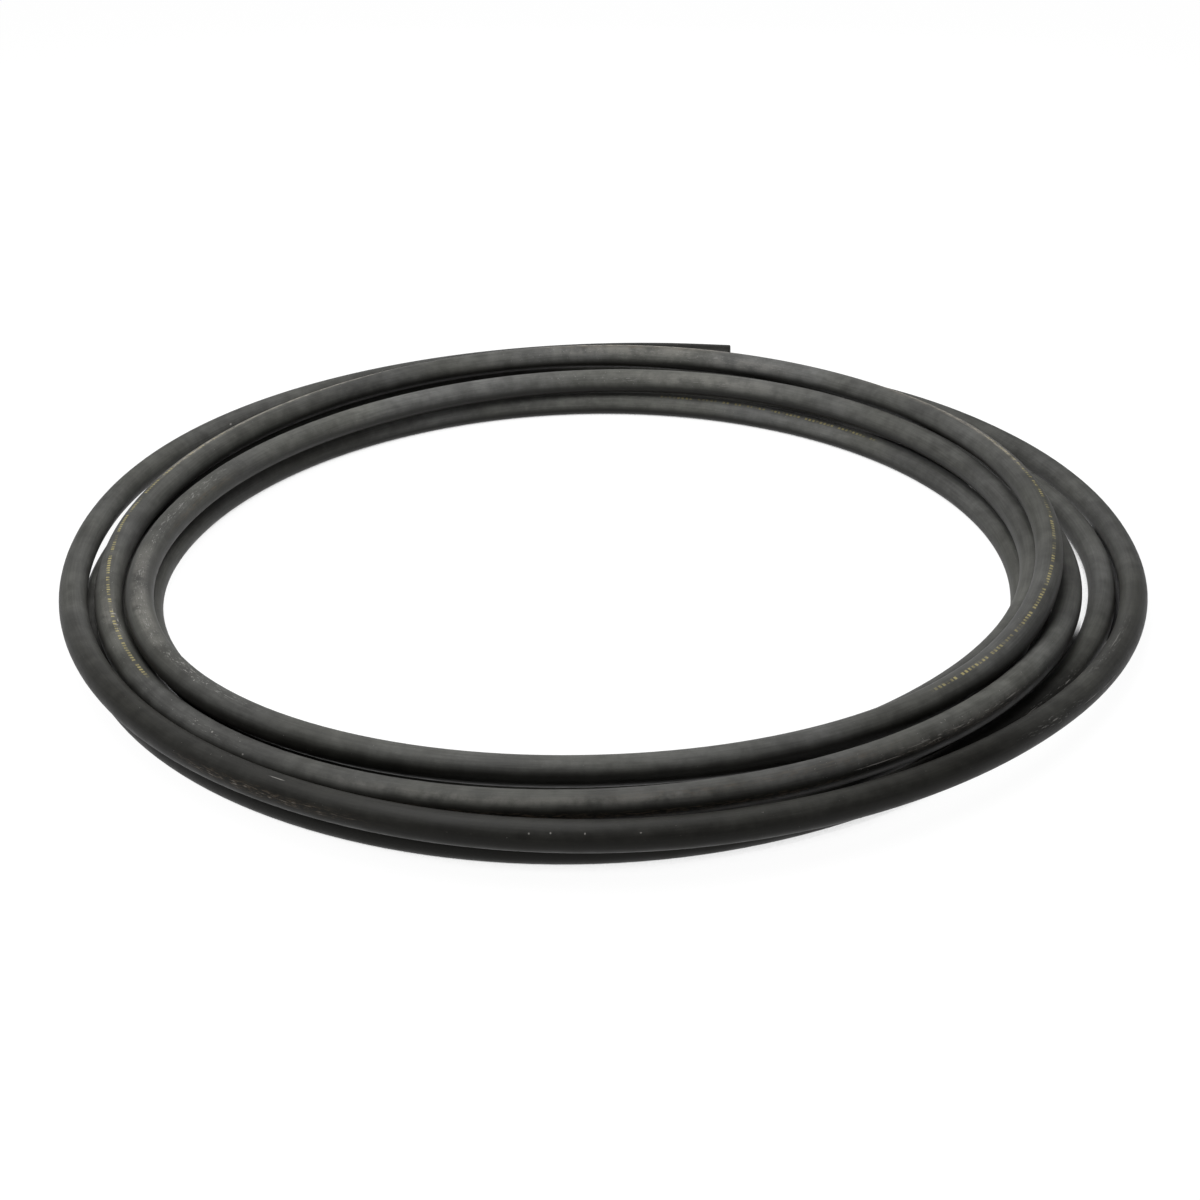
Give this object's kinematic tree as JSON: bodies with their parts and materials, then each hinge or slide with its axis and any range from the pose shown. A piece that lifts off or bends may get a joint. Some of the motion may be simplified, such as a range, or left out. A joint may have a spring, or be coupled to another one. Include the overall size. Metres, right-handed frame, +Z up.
{
  "type": "coiled garden hose",
  "caption": "Smooth black rubber garden hose wound by hand into a loose round coil, with two plain cut ends and no fittings.",
  "frame": {"origin": "Middle of the coil's outline seen from above, on the ground that it lies on.", "axes": "Z is up, square to the ground. Y runs to the back, where both ends of the hose lie, along the coil's longest side. X runs to the right."},
  "size_m": [0.8924, 0.946, 0.0672],
  "materials": {
    "cover_rubber": "smooth matt black rubber with a soft sheen, light scuffs, dust and a line of worn yellow dashes",
    "textile_cord": "undyed synthetic cord, braided and soaked in rubber",
    "tube_rubber": "smooth black rubber"
  },
  "bodies": {
    "root": {"outer_cover": "cover_rubber", "textile_reinforcement": "textile_cord", "inner_tube": "tube_rubber"}
  },
  "joints": []
}
